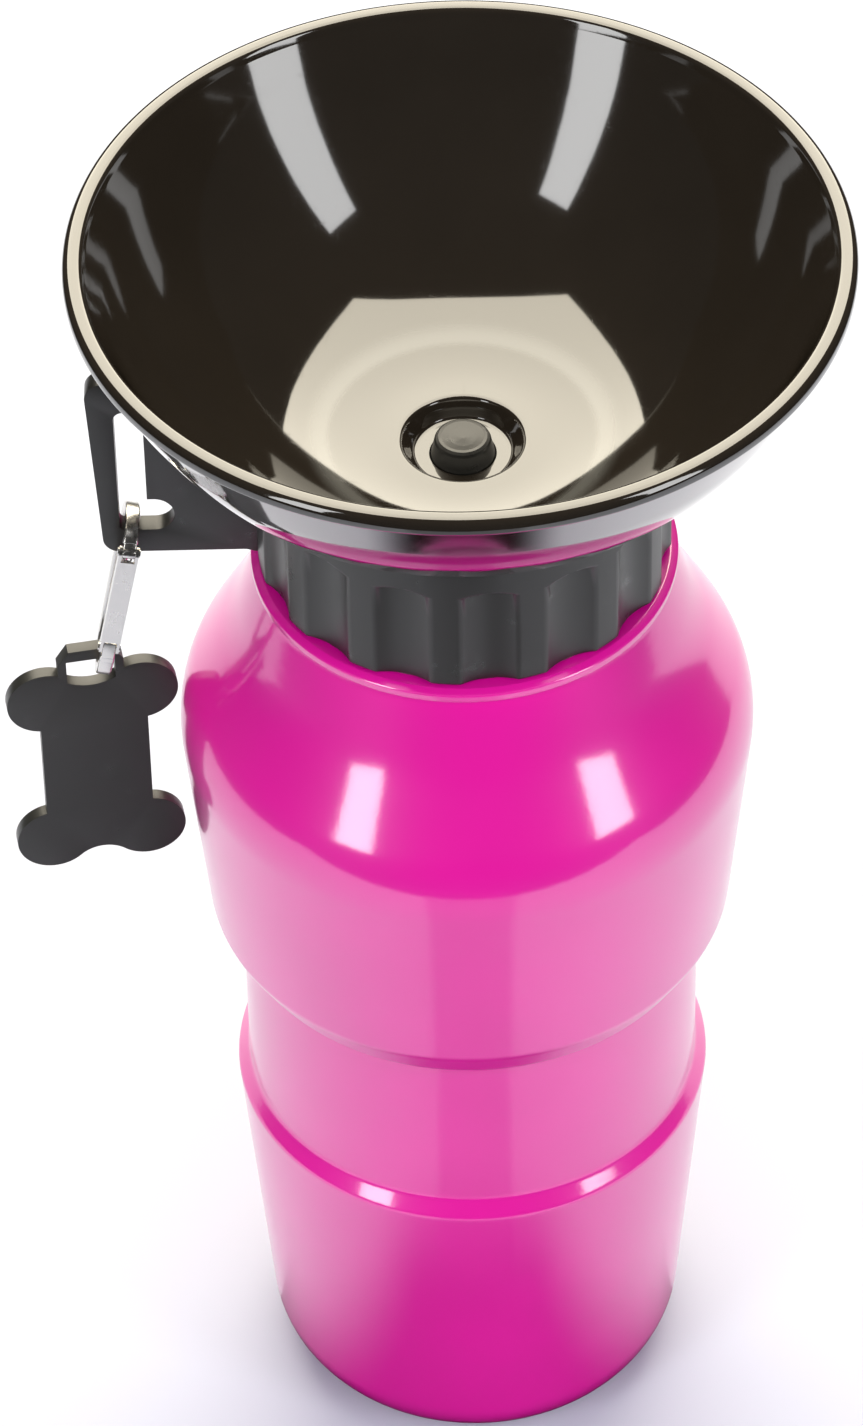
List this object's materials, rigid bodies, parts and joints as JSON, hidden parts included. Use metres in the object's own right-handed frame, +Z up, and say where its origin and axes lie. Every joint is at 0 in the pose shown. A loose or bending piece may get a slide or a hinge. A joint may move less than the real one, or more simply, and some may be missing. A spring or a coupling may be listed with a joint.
{
  "type": "dog travel water bottle",
  "caption": "Squeeze bottle with a screw lid, a wide drinking bowl on top, and a bone tag on a snap hook.",
  "frame": {"origin": "centre of the base, in the plane the bottle stands on", "axes": "+Z up along the bottle's centre line to the bowl, -X towards the hanging plate and the tag, -Y towards the front"},
  "size_m": [0.1248, 0.112, 0.2268],
  "materials": {
    "bottle_plastic": "glossy magenta, soft squeeze wall",
    "lid_plastic": "satin dark grey-black",
    "bowl_plastic": "polished near-black",
    "seal_rubber": "matte, soft",
    "tube_plastic": "milky, half clear",
    "hook_metal": "bright plated",
    "tag_plastic": "satin black"
  },
  "bodies": {
    "bottle": {"bottle": "bottle_plastic"},
    "lid_seal": {"lid_gasket": "seal_rubber"},
    "lid": {"lid_collar": "lid_plastic", "valve_post": "lid_plastic", "valve_washer": "seal_rubber", "dip_tube": "tube_plastic"},
    "spigot_seal": {"bowl_seal": "seal_rubber"},
    "bowl": {"bowl": "bowl_plastic"},
    "hook": {"hook_body": "hook_metal"},
    "gate": {"hook_gate": "hook_metal", "gate_pins": "hook_metal", "gate_spring": "hook_metal"},
    "tag": {"bone_tag": "tag_plastic"}
  },
  "joints": [
    {"name": "lid_rise", "type": "slide", "parent": "bottle", "child": "lid_seal", "axis": [0, 0, 1], "range_m": [0, 0.00563]},
    {"name": "lid_turn", "type": "hinge", "parent": "lid_seal", "child": "lid", "pos_m": [0, 0, 0.1766], "axis": [0, 0, 1], "range_deg": [0, 450]},
    {"name": "bowl_rise", "type": "slide", "parent": "lid", "child": "spigot_seal", "axis": [0, 0, 1], "range_m": [0, 0.003]},
    {"name": "bowl_turn", "type": "hinge", "parent": "spigot_seal", "child": "bowl", "pos_m": [0, 0, 0.1821], "axis": [0, 0, 1], "range_deg": [0, 90]},
    {"name": "hook_swing", "type": "hinge", "parent": "lid", "child": "hook", "pos_m": [-0.0492, 0, 0.17175], "axis": [1, 0, 0], "range_deg": [-32, 55]},
    {"name": "gate_open", "type": "hinge", "parent": "hook", "child": "gate", "pos_m": [-0.04879, -0.00467, 0.17389], "axis": [0.9816, 0, -0.1908], "range_deg": [0, 12], "stiffness_Nm_per_rad": 0.01, "springref_deg": -14.32},
    {"name": "tag_swing", "type": "hinge", "parent": "hook", "child": "tag", "pos_m": [-0.05397, 0, 0.14721], "axis": [-0.1736, 0.9848, 0], "range_deg": [0, 20]}
  ],
  "couplings": [
    {"joint": "lid_rise", "follows": "lid_turn", "m_per_rad": 0.0007162},
    {"joint": "bowl_rise", "follows": "bowl_turn", "m_per_rad": 0.0019099}
  ]
}
